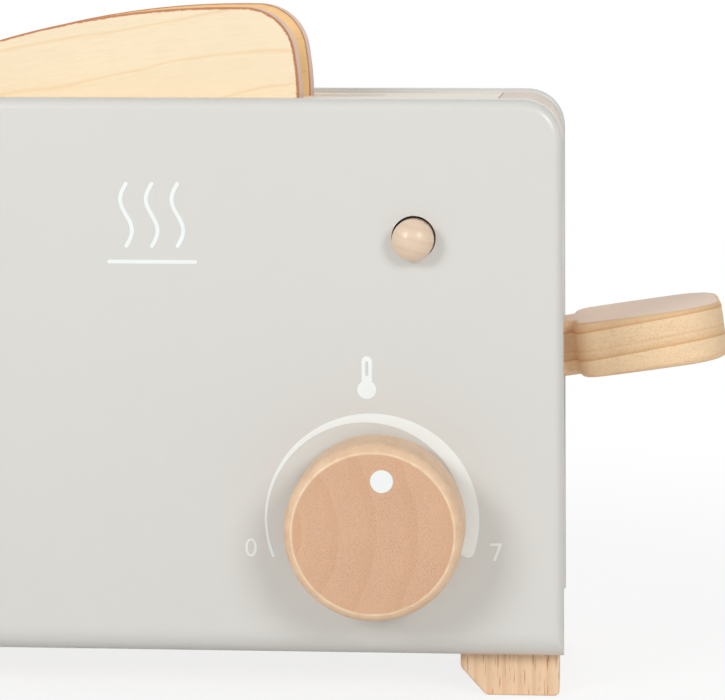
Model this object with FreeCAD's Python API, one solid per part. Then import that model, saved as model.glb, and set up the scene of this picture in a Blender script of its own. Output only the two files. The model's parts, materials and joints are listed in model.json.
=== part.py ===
"""Wooden toy toaster.

A painted case holds two slots. Two toast slices stand on a carrier at the inner end of a
rocking lever, whose paddle comes out of the right side: pressing the paddle lifts the toast.
The front has a knob that turns over a printed scale, and a sprung push button.

+X is to the right of someone who faces the dial, +Y points away from them and +Z is up.
Lengths are in millimetres and angles in degrees. While the pieces are made, X = 0 and Y = 0
are the middle of the case and Z = 0 is the soles of the feet.
"""
import FreeCAD
import Part
import os
from math import acos, atan2, cos, degrees, hypot, radians, sin, sqrt, tan

# --- Driving dimensions ---------------------------------------------------------------------

# case
case_width = 186.0            # across the panels' bottom edge
case_depth = 80.0             # front face to back face
panel_height = 122.5
side_lean = 1.0               # how far each side leans in from bottom to top
panel_thickness = 8.0
panel_corner_radius = 9.0     # upper corners of the panels
panel_round_over = 2.4        # outer edge of a panel, top and sides
panel_bottom_round = 6.0      # outer edge of a panel, along the bottom
panel_inner_ease = 0.8        # inner edge of a panel
core_inset = 1.0              # boards lie this far inside the panels' outline
side_board_thickness = 15.0   # at the bottom
top_board_thickness = 7.0
bottom_board_thickness = 7.0

# toast slots
slot_end_clearance = 9.2      # past each lobe of a slice, for its lean
slot_side_clearance = 0.75    # each side of a slice
slot_spacing = 26.0           # between the two slots' middle planes
slot_ease = 0.6
divider_thickness = 6.0
divider_clearance = 4.4       # above the carrier when the lever is pressed
divider_housing = 3.0         # depth of its grooves in the side boards

# joints between boards
glue_gap = 0.05               # around a dowel, pin or screw in its hole
frame_dowel_diameter = 4.0
frame_dowel_reach = 7.0       # into each board
frame_dowel_inset = 12.0      # from a panel's inner face
panel_dowel_diameter = 6.0
panel_dowel_reach = 13.0      # into the side board
blind_hole_depth = 5.0        # of every dowel and pin in a panel
fastener_low_rise = 18.0      # lower panel dowels and screws, above the panels' bottom edge
fastener_high_drop = 24.5     # upper ones, below the panels' top edge

# screws
screw_head_diameter = 7.0
screw_shank_diameter = 3.5
screw_head_depth = 2.2
screw_recess_width = 1.1
screw_recess_span = 3.8
screw_recess_depth = 1.3
back_screw_length = 24.0
foot_screw_length = 16.0
carrier_screw_length = 14.0

# feet
foot_height = 10.0            # from the soles to the panels' bottom edge
foot_width = 22.0
foot_depth = 16.0
foot_bevel_width = 5.7
foot_bevel_height = 6.3
foot_corner_radius = 2.0
foot_edge_radius = 1.2
foot_ease = 0.5

# lever, in its own frame: along the arm from the pivot, towards the paddle
rest_tilt = 8.5               # paddle end up
lever_travel = 13.0           # turns down from rest
pivot_inset = 11.0            # from the right side board's inner face
pivot_rise = 60.4             # above the panels' bottom edge
lever_thickness = 12.6
arm_width = 14.0
arm_tail = 4.7                # past the carrier's inner end
paddle_gap = 2.5              # case side to paddle
paddle_length = 33.8
paddle_width = 33.4
paddle_bulge = 1.2            # of each long side, at its middle
paddle_near_radius = 5.0      # corners beside the case
paddle_far_radius = 10.0
paddle_throat_radius = 1.5
lever_ease = 1.3
pivot_pin_diameter = 5.0
pivot_clearance = 0.1         # radial
arm_slot_side_clearance = 0.6
arm_slot_end_clearance = 0.9

# rest dowel, under the arm
rest_dowel_diameter = 8.0
rest_dowel_inset = 12.0       # from the arm's inner end
rest_gap = 0.3

# toast and its carrier
toast_height = 80.0
toast_thickness = 9.0
toast_neck_width = 74.8
toast_lobe_bulge = 3.0        # how far each lobe stands out from the neck
toast_crown_radius = 185.0
toast_lobe_radius = 11.5
toast_lobe_straight = 2.4     # upright part of the lobe's side
toast_neck_drop = 27.5        # height over which the lobe narrows to the neck
toast_foot_radius = 4.0
toast_ease = 0.6
toast_offset = 7.292          # the slices' middle, left of the slots' middle at the case's top
carrier_thickness = 6.5
carrier_end_wall = 6.0
carrier_side_wall = 5.0
carrier_ease = 0.8
front_pocket_depth = 2.9
rear_pocket_depth = 2.0
pocket_clearance = 0.4
toast_seat_gap = 0.15
carrier_screw_spacing = 60.0

# knob
knob_inset = 24.7             # from the right side board's inner face
knob_rise = 30.8              # above the panels' bottom edge
knob_diameter = 38.5
knob_thickness = 15.0
knob_front_radius = 2.5
knob_back_radius = 2.0
knob_gap = 0.8                # knob to panel, filled by the outer washer
knob_bore_depth = 10.0
axle_diameter = 8.0
axle_clearance = 0.25         # radial, in the panel
axle_tail = 2.5               # behind the retaining disc
washer_wall = 7.0             # from the axle to the washers' rim
inner_washer_thickness = 1.0
retainer_wall = 6.0           # from the axle to the disc's rim
retainer_thickness = 6.0
retainer_pin_diameter = 2.0
retainer_pin_inset = 1.0      # its ends below the disc's rim
felt_clearance = 0.2          # each side of a felt washer that rubs on the panel

# push button
button_inset = 17.0           # from the right side board's inner face
button_drop = 29.9            # below the panels' top edge
button_diameter = 9.0
button_clearance = 0.3        # around the button in its hole
button_sag = 0.2              # the button hangs this far below its hole's centre
button_reach = 5.8            # stands out of the panel
button_dome_height = 2.4
button_travel = 4.0
button_tail = 10.0            # behind the panel
collar_wall = 1.5
collar_thickness = 2.5
collar_gap = 0.3
guide_wall = 2.1
guide_tail_room = 5.0         # behind the tail of the pressed button
guide_back_wall = 3.0
guide_clearance = 0.4         # around the collar
guide_ease = 0.6
spring_wire_diameter = 0.7
spring_clearance = 0.55       # between the button and the wire
spring_turns = 6
spring_end_gap = 0.1

# modelling
overrun = 1.0                 # how far a cut runs past the face it opens
same_place = 1e-4             # closer than this is the same place

# --- Places that follow from them -----------------------------------------------------------

case_bottom = foot_height
case_top = case_bottom + panel_height
front_face = -case_depth / 2
back_face = case_depth / 2
inner_front = front_face + panel_thickness
inner_back = back_face - panel_thickness
core_bottom = case_bottom + core_inset
core_top = case_top - core_inset
core_half_width = case_width / 2 - core_inset
bay_half_width = core_half_width - side_board_thickness
top_board_bottom = core_top - top_board_thickness
bottom_board_top = core_bottom + bottom_board_thickness
side_board_middle = (bay_half_width + core_half_width) / 2 - side_lean / 4
slot_planes = (-slot_spacing / 2, slot_spacing / 2)
fastener_heights = (case_bottom + fastener_low_rise, case_top - fastener_high_drop)
frame_dowel_rows = (inner_front + frame_dowel_inset, inner_back - frame_dowel_inset)

pivot_x = bay_half_width - pivot_inset
pivot_height = case_bottom + pivot_rise
knob_x = bay_half_width - knob_inset
knob_height = case_bottom + knob_rise
button_x = bay_half_width - button_inset
button_height = case_top - button_drop

toast_lobe_width = toast_neck_width + 2 * toast_lobe_bulge
slot_length = toast_lobe_width + 2 * slot_end_clearance
slot_width = toast_thickness + 2 * slot_side_clearance

lean_at_top = (core_top - pivot_height) * tan(radians(rest_tilt))
toast_reach = (pivot_x - lean_at_top + toast_offset) * cos(radians(rest_tilt))  # pivot to slices
lever_half = lever_thickness / 2
carrier_top = lever_half + carrier_thickness
pocket_floors = (carrier_top - front_pocket_depth, carrier_top - rear_pocket_depth)
pocket_length = toast_neck_width + 2 * pocket_clearance
pocket_width = toast_thickness + 2 * pocket_clearance
carrier_length = pocket_length + 2 * carrier_end_wall
carrier_width = slot_spacing + pocket_width + 2 * carrier_side_wall
arm_reach = toast_reach + carrier_length / 2 + arm_tail
rest_dowel_reach = arm_reach - rest_dowel_inset
paddle_start = (case_width / 2 - pivot_x) / cos(radians(rest_tilt)) + paddle_gap

pressed_rise = radians(lever_travel - rest_tilt)  # the arm's inner end is up when pressed
carrier_peak = (pivot_height + (toast_reach + carrier_length / 2) * sin(pressed_rise)
                + carrier_top * cos(pressed_rise))
divider_bottom = carrier_peak + divider_clearance

button_hole_diameter = button_diameter + 2 * button_clearance
collar_diameter = button_diameter + 2 * collar_wall
guide_bore_diameter = collar_diameter + 2 * guide_clearance
guide_size = guide_bore_diameter + 2 * guide_wall
spring_coil_diameter = button_diameter + 2 * spring_clearance + spring_wire_diameter
collar_front = inner_front + collar_gap
collar_back = collar_front + collar_thickness
guide_chamber_end = inner_front + button_tail + button_travel + guide_tail_room
guide_end = guide_chamber_end + guide_back_wall
button_axis_height = button_height - button_sag

washer_diameter = axle_diameter + 2 * washer_wall
retainer_diameter = axle_diameter + 2 * retainer_wall
retainer_front = inner_front + inner_washer_thickness + 2 * felt_clearance
retainer_back = retainer_front + retainer_thickness
knob_back = front_face - knob_gap
knob_front = knob_back - knob_thickness

X_AXIS = FreeCAD.Vector(1, 0, 0)
Y_AXIS = FreeCAD.Vector(0, 1, 0)
Z_AXIS = FreeCAD.Vector(0, 0, 1)
ORIGIN = FreeCAD.Vector(0, 0, 0)


# --- Helpers --------------------------------------------------------------------------------

def box(x0, x1, y0, y1, z0, z1):
    """A box between two corners."""
    return Part.makeBox(x1 - x0, y1 - y0, z1 - z0, FreeCAD.Vector(x0, y0, z0))


def rod(diameter, start, direction, length):
    """A cylinder from a start point along a direction."""
    return Part.makeCylinder(diameter / 2, length, FreeCAD.Vector(*start), direction)


def rod_y(diameter, x, z, y0, y1):
    """A cylinder along Y."""
    return rod(diameter, (x, y0, z), Y_AXIS, y1 - y0)


def slab_y(wire, y0, y1):
    """A flat outline drawn in XZ, extruded from y0 to y1."""
    slab = Part.Face(wire).extrude(FreeCAD.Vector(0, y1 - y0, 0))
    slab.translate(FreeCAD.Vector(0, y0, 0))
    return slab


def fillet(solid, radius, wanted):
    """Rounds every edge for which wanted(edge) is true."""
    return solid.makeFillet(radius, [edge for edge in solid.Edges if wanted(edge)])


def edge_lies_at(edge, axis, value):
    """True where the whole edge lies in one plane across an axis: 0 for X, 1 for Y, 2 for Z."""
    low = (edge.BoundBox.XMin, edge.BoundBox.YMin, edge.BoundBox.ZMin)[axis]
    high = (edge.BoundBox.XMax, edge.BoundBox.YMax, edge.BoundBox.ZMax)[axis]
    return abs(low - value) < same_place and abs(high - value) < same_place


def runs_along(edge, direction):
    """True for a straight edge that is parallel to a direction."""
    if not isinstance(edge.Curve, Part.Line):
        return False
    return abs(abs(edge.tangentAt(edge.FirstParameter).dot(direction)) - 1) < 1e-6


def single(shape):
    """The one solid of a shape, with split faces merged."""
    return shape.removeSplitter().Solids[0]


def at_rest(shape):
    """Moves a shape from the lever's own frame to the lever's rest pose."""
    placed = shape.copy()
    placed.rotate(ORIGIN, Y_AXIS, -rest_tilt)
    placed.translate(FreeCAD.Vector(pivot_x, 0, pivot_height))
    return placed


def rest_place(along, above):
    """X and Z of a point of the lever's frame, at rest."""
    x = pivot_x + along * cos(radians(rest_tilt)) - above * sin(radians(rest_tilt))
    z = pivot_height + along * sin(radians(rest_tilt)) + above * cos(radians(rest_tilt))
    return x, z


def wood_screw(length):
    """A countersunk screw, head face at Z = 0 and pointing down, with a cross recess."""
    head_r = screw_head_diameter / 2
    shank_r = screw_shank_diameter / 2
    head = Part.makeCone(shank_r, head_r, screw_head_depth, FreeCAD.Vector(0, 0, -screw_head_depth))
    shank_length = length - screw_head_depth - 2 * shank_r
    shank = rod(screw_shank_diameter, (0, 0, -screw_head_depth), -Z_AXIS, shank_length)
    tip_top = FreeCAD.Vector(0, 0, -screw_head_depth - shank_length)
    tip = Part.makeCone(shank_r, shank_r / 4, 2 * shank_r, tip_top, -Z_AXIS)
    half_span = screw_recess_span / 2
    half_slot = screw_recess_width / 2
    recess = box(-half_span, half_span, -half_slot, half_slot, -screw_recess_depth, overrun)
    recess = recess.fuse(box(-half_slot, half_slot, -half_span, half_span,
                             -screw_recess_depth, overrun))
    return single(head.fuse([shank, tip]).cut(recess))


def screw_hole(length):
    """The countersink and pilot hole that a wood screw fills, with the glue gap around it."""
    shank_d = screw_shank_diameter + 2 * glue_gap
    sink = Part.makeCone(shank_d / 2, screw_head_diameter / 2 + glue_gap, screw_head_depth,
                         FreeCAD.Vector(0, 0, -screw_head_depth))
    mouth = rod(screw_head_diameter + 2 * glue_gap, (0, 0, 0), Z_AXIS, overrun)
    return sink.fuse([mouth, rod(shank_d, (0, 0, 0), -Z_AXIS, length + glue_gap)])


def placed_screws(make, length, places, turn_axis=X_AXIS, turn=0.0):
    """Copies of a screw or its hole, turned and set with the head face at each place."""
    copies = []
    for place in places:
        copy = make(length)
        copy.rotate(ORIGIN, turn_axis, turn)
        copy.translate(FreeCAD.Vector(*place))
        copies.append(copy)
    return copies


# --- Places of the fasteners ----------------------------------------------------------------

def frame_dowel_places():
    """X side, Y and Z of each dowel between a side board and the top or bottom board."""
    heights = ((core_top + top_board_bottom) / 2, (core_bottom + bottom_board_top) / 2)
    return [(side, y, z) for side in (-1, 1) for y in frame_dowel_rows for z in heights]


def frame_dowel_set(extra):
    """The frame dowels, or with an extra radius their holes."""
    reach = frame_dowel_reach + extra
    return [rod(frame_dowel_diameter + 2 * extra, (side * bay_half_width - reach, y, z),
                X_AXIS, 2 * reach)
            for side, y, z in frame_dowel_places()]


def panel_fastener_places():
    """X and Z of the dowels and screws between the panels and the side boards."""
    return [(side * side_board_middle, z) for side in (-1, 1) for z in fastener_heights]


def panel_dowel_set(extra):
    """The dowels between the front panel and the side boards, or their holes."""
    return [rod_y(panel_dowel_diameter + 2 * extra, x, z,
                  inner_front - blind_hole_depth - extra, inner_front + panel_dowel_reach + extra)
            for x, z in panel_fastener_places()]


def back_screw_set(make):
    """The screws through the back panel, or their holes."""
    places = [(x, back_face, z) for x, z in panel_fastener_places()]
    return placed_screws(make, back_screw_length, places, X_AXIS, -90)


def foot_places():
    """Name, side in X and side in Y of each foot."""
    return [("foot_front_left", -1, -1), ("foot_front_right", 1, -1),
            ("foot_rear_left", -1, 1), ("foot_rear_right", 1, 1)]


def foot_centre(side_x, side_y):
    """X and Y of a foot's screw, in the middle of its sole."""
    sole_width = foot_width - foot_bevel_width
    x = side_x * (core_half_width - sole_width / 2)
    y = side_y * (inner_back - foot_depth / 2)
    return x, y


def foot_screw_set(make):
    """The screws up through the feet, or their holes."""
    places = [(*foot_centre(side_x, side_y), 0) for _, side_x, side_y in foot_places()]
    return placed_screws(make, foot_screw_length, places, X_AXIS, 180)


def panel_pin_set(extra):
    """The pivot pin and the rest dowel, or their blind holes in the panels."""
    y0 = inner_front - blind_hole_depth - extra
    y1 = inner_back + blind_hole_depth + extra
    rest_drop = lever_half + rest_gap + rest_dowel_diameter / 2
    rest_x, rest_z = rest_place(-rest_dowel_reach, -rest_drop)
    pin = rod_y(pivot_pin_diameter + 2 * extra, pivot_x, pivot_height, y0, y1)
    dowel = rod_y(rest_dowel_diameter + 2 * extra, rest_x, rest_z, y0, y1)
    return pin, dowel


# --- Case -----------------------------------------------------------------------------------

def case_block(inset, y0, y1):
    """The case's outline, drawn in by an inset and extruded, with its upper corners round."""
    low_x = case_width / 2 - inset
    high_x = low_x - side_lean
    low_z = case_bottom + inset
    high_z = case_top - inset
    corners = [(-low_x, low_z), (low_x, low_z), (high_x, high_z), (-high_x, high_z), (-low_x, low_z)]
    block = slab_y(Part.makePolygon([FreeCAD.Vector(x, 0, z) for x, z in corners]), y0, y1)
    return fillet(block, panel_corner_radius - inset,
                  lambda edge: runs_along(edge, Y_AXIS) and edge_lies_at(edge, 2, high_z))


def panel():
    """The front panel before its holes: outer face forward, round at the outer edge."""
    slab = case_block(0, front_face, inner_front)
    slab = fillet(slab, panel_round_over,
                  lambda edge: edge_lies_at(edge, 1, front_face) and not edge_lies_at(edge, 2, case_bottom))
    slab = fillet(slab, panel_inner_ease,
                  lambda edge: edge_lies_at(edge, 1, inner_front) and not edge_lies_at(edge, 2, case_bottom))
    keeper = box(-case_width, case_width, front_face, inner_front, case_bottom, case_top)
    keeper = fillet(keeper, panel_bottom_round,
                    lambda edge: edge_lies_at(edge, 1, front_face) and edge_lies_at(edge, 2, case_bottom))
    return slab.common(keeper)


def front_panel():
    """Painted panel with the button's and the knob's holes and the blind holes behind."""
    ends = (front_face - overrun, inner_front + overrun)
    holes = [rod_y(button_hole_diameter, button_x, button_height, *ends),
             rod_y(axle_diameter + 2 * axle_clearance, knob_x, knob_height, *ends)]
    return single(panel().cut(holes + panel_dowel_set(glue_gap) + list(panel_pin_set(glue_gap))))


def back_panel():
    """The same panel turned to the back, with the screw holes."""
    turned = panel().mirror(ORIGIN, Y_AXIS)
    return single(turned.cut(back_screw_set(screw_hole) + list(panel_pin_set(glue_gap))))


def arm_slot():
    """The opening in the right side board for the lever, from rest to pressed."""
    outer_reach = case_width / 2 - pivot_x
    rise = outer_reach * tan(radians(rest_tilt))
    fall = outer_reach * tan(radians(lever_travel - rest_tilt))
    half_at_rest = lever_half / cos(radians(rest_tilt))
    half_pressed = lever_half / cos(radians(lever_travel - rest_tilt))
    top = pivot_height + rise + half_at_rest + arm_slot_end_clearance
    bottom = pivot_height - fall - half_pressed - arm_slot_end_clearance
    half_width = arm_width / 2 + arm_slot_side_clearance
    return box(bay_half_width - overrun, case_width / 2, -half_width, half_width, bottom, top)


def divider_housings():
    """The two grooves that hold the divider's ends."""
    reach = bay_half_width + divider_housing
    return box(-reach, reach, -divider_thickness / 2, divider_thickness / 2,
               divider_bottom, top_board_bottom)


def side_board(side):
    """An upright board between the panels, its outer face following the case's outline."""
    block = case_block(core_inset, inner_front, inner_back)
    inner = side * bay_half_width
    outer = side * case_width
    board = block.common(box(min(inner, outer), max(inner, outer), inner_front, inner_back,
                             case_bottom, case_top))
    cuts = frame_dowel_set(glue_gap) + panel_dowel_set(glue_gap)
    cuts += back_screw_set(screw_hole) + foot_screw_set(screw_hole)
    cuts.append(divider_housings())
    if side > 0:
        cuts.append(arm_slot())
    return single(board.cut(cuts))


def top_board():
    """The board between the side boards that holds the two toast slots."""
    board = box(-bay_half_width, bay_half_width, inner_front, inner_back, top_board_bottom, core_top)
    for y in slot_planes:
        slot = box(-slot_length / 2, slot_length / 2, y - slot_width / 2, y + slot_width / 2,
                   top_board_bottom - overrun, core_top + overrun)
        board = board.cut(slot)
    board = fillet(board, slot_ease,
                   lambda edge: edge_lies_at(edge, 2, core_top)
                   and abs(edge.CenterOfMass.x) < bay_half_width - same_place
                   and abs(edge.CenterOfMass.y) < inner_back - same_place)
    return single(board.cut(frame_dowel_set(glue_gap)))


def bottom_board():
    """The floor of the case."""
    board = box(-bay_half_width, bay_half_width, inner_front, inner_back, core_bottom, bottom_board_top)
    return single(board.cut(frame_dowel_set(glue_gap)))


def slot_divider():
    """The board that parts the two toast bays, hung under the top board."""
    return divider_housings()


def foot(side_x, side_y):
    """One foot: a block with its inner lower corner cut off at a slant."""
    outer = core_half_width
    inner = outer - foot_width
    corners = [(inner, core_bottom), (inner, foot_bevel_height), (inner + foot_bevel_width, 0),
               (outer, 0), (outer, core_bottom), (inner, core_bottom)]
    y0 = inner_front if side_y < 0 else inner_back - foot_depth
    block = slab_y(Part.makePolygon([FreeCAD.Vector(x, 0, z) for x, z in corners]), y0, y0 + foot_depth)
    block = fillet(block, foot_corner_radius,
                   lambda edge: runs_along(edge, Y_AXIS)
                   and edge.CenterOfMass.x < outer - same_place
                   and edge.CenterOfMass.z < core_bottom - same_place)
    block = fillet(block, foot_edge_radius,
                   lambda edge: runs_along(edge, Y_AXIS) and edge_lies_at(edge, 0, outer)
                   and edge_lies_at(edge, 2, 0))
    for face_y in (y0, y0 + foot_depth):
        block = fillet(block, foot_ease,
                       lambda edge: edge_lies_at(edge, 1, face_y) and not edge_lies_at(edge, 2, core_bottom))
    if side_x < 0:
        block = block.mirror(ORIGIN, X_AXIS)
    return single(block.cut(foot_screw_set(screw_hole)))


# --- Lever and carrier ----------------------------------------------------------------------

def paddle():
    """The lever's paddle: two bowed sides between straight ends, its corners round."""
    start, end = paddle_start, paddle_start + paddle_length
    half = paddle_width / 2
    end_half = half - paddle_bulge
    corners = [FreeCAD.Vector(x, y, -lever_half)
               for x, y in ((start, -end_half), (end, -end_half), (end, end_half), (start, end_half))]
    bows = [FreeCAD.Vector((start + end) / 2, y, -lever_half) for y in (-half, half)]
    outline = Part.Wire([Part.Arc(corners[0], bows[0], corners[1]).toShape(),
                         Part.LineSegment(corners[1], corners[2]).toShape(),
                         Part.Arc(corners[2], bows[1], corners[3]).toShape(),
                         Part.LineSegment(corners[3], corners[0]).toShape()])
    body = Part.Face(outline).extrude(Z_AXIS * lever_thickness)
    for radius, end_x in ((paddle_near_radius, start), (paddle_far_radius, end)):
        body = fillet(body, radius, lambda edge: runs_along(edge, Z_AXIS) and edge_lies_at(edge, 0, end_x))
    return body


def lever():
    """One board: the inner arm, the neck through the side board and the rounded paddle."""
    arm = box(-arm_reach, paddle_start + paddle_length / 2, -arm_width / 2, arm_width / 2,
              -lever_half, lever_half)
    body = single(arm.fuse(paddle()))
    body = fillet(body, paddle_throat_radius,
                  lambda edge: runs_along(edge, Z_AXIS) and edge.CenterOfMass.x > 0
                  and abs(abs(edge.CenterOfMass.y) - arm_width / 2) < same_place)
    for face_z in (-lever_half, lever_half):
        body = fillet(body, lever_ease, lambda edge: edge_lies_at(edge, 2, face_z))
    bore = rod_y(pivot_pin_diameter + 2 * pivot_clearance, 0, 0, -arm_width, arm_width)
    return single(at_rest(body.cut([bore] + carrier_screw_set(screw_hole))))


def carrier_screw_set(make):
    """The screws down through the carrier into the arm, or their holes, in the lever's frame."""
    places = [(-toast_reach + step * carrier_screw_spacing / 2, 0, carrier_top) for step in (-1, 1)]
    return placed_screws(make, carrier_screw_length, places)


def toast_carrier():
    """The plate on the arm, with a blind pocket for the lower edge of each slice."""
    plate = box(-toast_reach - carrier_length / 2, -toast_reach + carrier_length / 2,
                -carrier_width / 2, carrier_width / 2, lever_half, carrier_top)
    plate = fillet(plate, carrier_ease, lambda edge: edge_lies_at(edge, 2, carrier_top))
    for y, pocket_floor in zip(slot_planes, pocket_floors):
        plate = plate.cut(box(-toast_reach - pocket_length / 2, -toast_reach + pocket_length / 2,
                              y - pocket_width / 2, y + pocket_width / 2,
                              pocket_floor, carrier_top + overrun))
    return single(at_rest(plate.cut(carrier_screw_set(screw_hole))))


# --- Toast ----------------------------------------------------------------------------------

def arc(start, middle, end):
    """An arc in the XZ plane through three points."""
    return Part.Arc(*(FreeCAD.Vector(x, 0, z) for x, z in (start, middle, end))).toShape()


def line(start, end):
    """A straight edge in the XZ plane."""
    return Part.LineSegment(*(FreeCAD.Vector(x, 0, z) for x, z in (start, end))).toShape()


def circle_point(centre, radius, angle):
    """A point on a circle in the XZ plane, at an angle from +X."""
    return centre[0] + radius * cos(radians(angle)), centre[1] + radius * sin(radians(angle))


def toast_half_outline():
    """Edges of the right half of a slice, from its foot up to its crown. X = 0 is its middle."""
    lobe_x = toast_lobe_width / 2
    neck_x = toast_neck_width / 2
    lobe_r = toast_lobe_radius

    # The lobe's round touches the crown's arc from inside and the lobe's upright side.
    crown_centre = (0, toast_height - toast_crown_radius)
    lobe_centre_x = lobe_x - lobe_r
    reach = toast_crown_radius - lobe_r
    lobe_centre = (lobe_centre_x, crown_centre[1] + sqrt(reach ** 2 - lobe_centre_x ** 2))
    touch_x = lobe_centre_x * toast_crown_radius / reach
    touch = (touch_x, crown_centre[1] + sqrt(toast_crown_radius ** 2 - touch_x ** 2))
    crown_middle_x = touch_x / 2
    crown_middle = (crown_middle_x, crown_centre[1] + sqrt(toast_crown_radius ** 2 - crown_middle_x ** 2))
    top = (0, toast_height)

    # Two equal arcs, one out and one in, lead from the lobe's side to the neck.
    side_top = (lobe_x, lobe_centre[1])
    side_bottom = (lobe_x, lobe_centre[1] - toast_lobe_straight)
    half_step = (lobe_x - neck_x) / 2
    half_drop = toast_neck_drop / 2
    bend_r = (half_drop ** 2 + half_step ** 2) / (2 * half_step)
    half_turn = degrees(acos(1 - half_step / bend_r)) / 2
    bend_middle = (lobe_x - half_step, side_bottom[1] - half_drop)
    neck_top = (neck_x, side_bottom[1] - toast_neck_drop)
    out_middle = circle_point((lobe_x - bend_r, side_bottom[1]), bend_r, -half_turn)
    in_middle = circle_point((neck_x + bend_r, neck_top[1]), bend_r, 180 - half_turn)

    foot_r = toast_foot_radius
    foot_centre_point = (neck_x - foot_r, foot_r)
    foot_middle = circle_point(foot_centre_point, foot_r, -45)
    touch_angle = degrees(atan2(touch[1] - crown_centre[1], touch_x))
    lobe_middle = circle_point(lobe_centre, lobe_r, touch_angle / 2)
    return [line((0, 0), (neck_x - foot_r, 0)),
            arc((neck_x - foot_r, 0), foot_middle, (neck_x, foot_r)),
            line((neck_x, foot_r), neck_top),
            arc(neck_top, in_middle, bend_middle),
            arc(bend_middle, out_middle, side_bottom),
            line(side_bottom, side_top),
            arc(side_top, lobe_middle, touch),
            arc(touch, crown_middle, top)]


def toast_slice(slot_y, pocket_floor):
    """A slice standing in its pocket, at rest."""
    right = toast_half_outline()
    left = [edge.mirror(ORIGIN, X_AXIS) for edge in right]
    outline = Part.Wire(Part.__sortEdges__(right + left))
    block = slab_y(outline, slot_y - toast_thickness / 2, slot_y + toast_thickness / 2)
    block = single(block)
    rim = [edge for edge in block.Edges if edge.BoundBox.YLength < same_place]
    block = block.makeChamfer(toast_ease, rim)
    block.translate(FreeCAD.Vector(-toast_reach, 0, pocket_floor + toast_seat_gap))
    return single(at_rest(block))


# --- Knob -----------------------------------------------------------------------------------

def dial_knob():
    """The round knob, with a blind bore for its axle."""
    body = rod_y(knob_diameter, knob_x, knob_height, knob_front, knob_back)
    body = fillet(body, knob_front_radius, lambda edge: edge_lies_at(edge, 1, knob_front))
    body = fillet(body, knob_back_radius, lambda edge: edge_lies_at(edge, 1, knob_back))
    bore = rod_y(axle_diameter + 2 * glue_gap, knob_x, knob_height,
                 knob_back - knob_bore_depth, knob_back + overrun)
    return single(body.cut(bore))


def retainer_pin_rod(extra):
    """The cross pin through the retaining disc and the axle, or its hole."""
    y = (retainer_front + retainer_back) / 2
    length = retainer_diameter - 2 * retainer_pin_inset
    start = (knob_x, y, knob_height - length / 2 - extra)
    return rod(retainer_pin_diameter + 2 * extra, start, Z_AXIS, length + 2 * extra)


def knob_axle():
    """The dowel that joins the knob to the retaining disc."""
    axle = rod_y(axle_diameter, knob_x, knob_height,
                 knob_back - knob_bore_depth + glue_gap, retainer_back + axle_tail)
    return single(axle.cut(retainer_pin_rod(glue_gap)))


def ring_y(outer, inner, x, z, y0, y1):
    """A flat ring across Y."""
    return rod_y(outer, x, z, y0, y1).cut(rod_y(inner, x, z, y0 - overrun, y1 + overrun))


def knob_washer():
    """Felt between the knob and the panel."""
    return single(ring_y(washer_diameter, axle_diameter + 2 * glue_gap, knob_x, knob_height,
                         knob_back, front_face - felt_clearance))


def inner_washer():
    """Felt between the panel and the retaining disc."""
    return single(ring_y(washer_diameter, axle_diameter + 2 * glue_gap, knob_x, knob_height,
                         inner_front + felt_clearance, retainer_front - glue_gap))


def knob_retainer():
    """The disc that keeps the axle in the panel."""
    disc = ring_y(retainer_diameter, axle_diameter + 2 * glue_gap, knob_x, knob_height,
                  retainer_front, retainer_back)
    return single(disc.cut(retainer_pin_rod(glue_gap)))


# --- Push button ----------------------------------------------------------------------------

def push_button():
    """A dowel with a domed end."""
    r = button_diameter / 2
    tip = front_face - button_reach
    dome_back = tip + button_dome_height
    tail = inner_front + button_tail
    dome_r = (r ** 2 + button_dome_height ** 2) / (2 * button_dome_height)
    half_dome_depth = dome_r - sqrt(dome_r ** 2 - (r / 2) ** 2)
    dome = Part.Arc(FreeCAD.Vector(0, tip, 0), FreeCAD.Vector(r / 2, tip + half_dome_depth, 0),
                    FreeCAD.Vector(r, dome_back, 0)).toShape()
    points = [FreeCAD.Vector(r, dome_back, 0), FreeCAD.Vector(r, tail, 0),
              FreeCAD.Vector(0, tail, 0), FreeCAD.Vector(0, tip, 0)]
    sides = Part.makePolygon(points)
    body = Part.Face(Part.Wire([dome] + sides.Edges)).revolve(ORIGIN, Y_AXIS, 360)
    body.translate(FreeCAD.Vector(button_x, 0, button_axis_height))
    return single(body)


def button_collar():
    """The ring that keeps the button from falling out forwards."""
    return single(ring_y(collar_diameter, button_diameter + 2 * glue_gap, button_x, button_axis_height,
                         collar_front, collar_back))


def button_guide():
    """The block behind the panel that houses the button's collar and spring."""
    half = guide_size / 2
    block = box(button_x - half, button_x + half, inner_front, guide_end,
                button_height - half, button_height + half)
    block = fillet(block, guide_ease, lambda edge: not edge_lies_at(edge, 1, inner_front))
    bore = rod_y(guide_bore_diameter, button_x, button_axis_height,
                 inner_front - overrun, guide_chamber_end)
    return single(block.cut(bore))


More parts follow.
